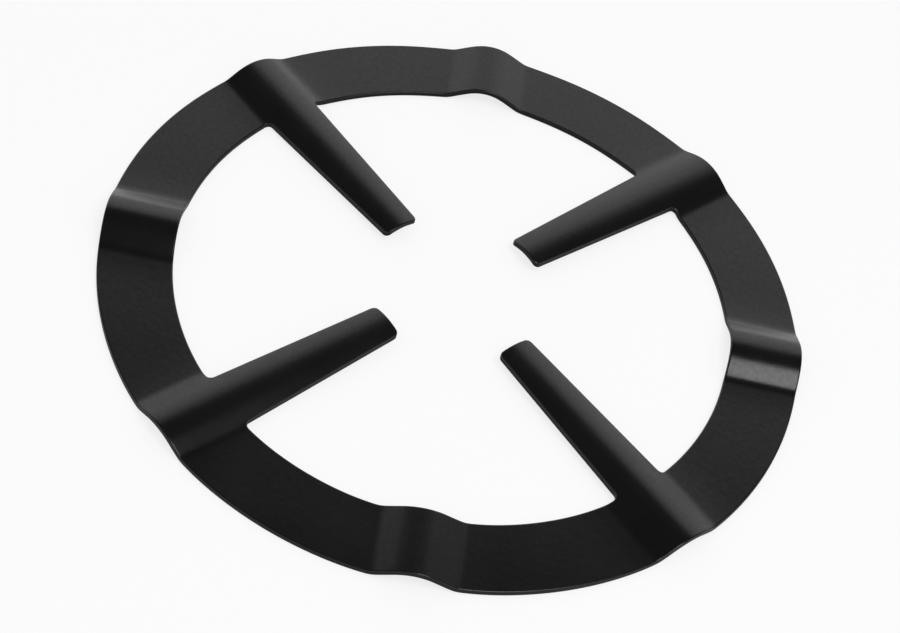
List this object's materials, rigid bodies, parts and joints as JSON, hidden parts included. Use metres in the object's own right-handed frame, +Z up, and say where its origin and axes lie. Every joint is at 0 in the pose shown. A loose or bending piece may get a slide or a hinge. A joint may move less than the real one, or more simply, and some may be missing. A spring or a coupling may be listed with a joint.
{
  "type": "stove rack",
  "caption": "Round pot-support ring for a gas burner, pressed from sheet steel: a flat ring with tapered arms to the middle, ridges along the arms and raised humps between.",
  "frame": {"origin": "on the ring's axis, at the height of the underside of its flat stretches, which rest on the stove", "axes": "+Z up out of the crowns of the ridges and humps; two opposite arms lie along X and the other two along Y"},
  "size_m": [0.145, 0.145, 0.0042],
  "materials": {
    "black_paint": "satin black heat-resistant paint baked on pressed sheet steel"
  },
  "bodies": {
    "root": {"rack": "black_paint"}
  },
  "joints": []
}
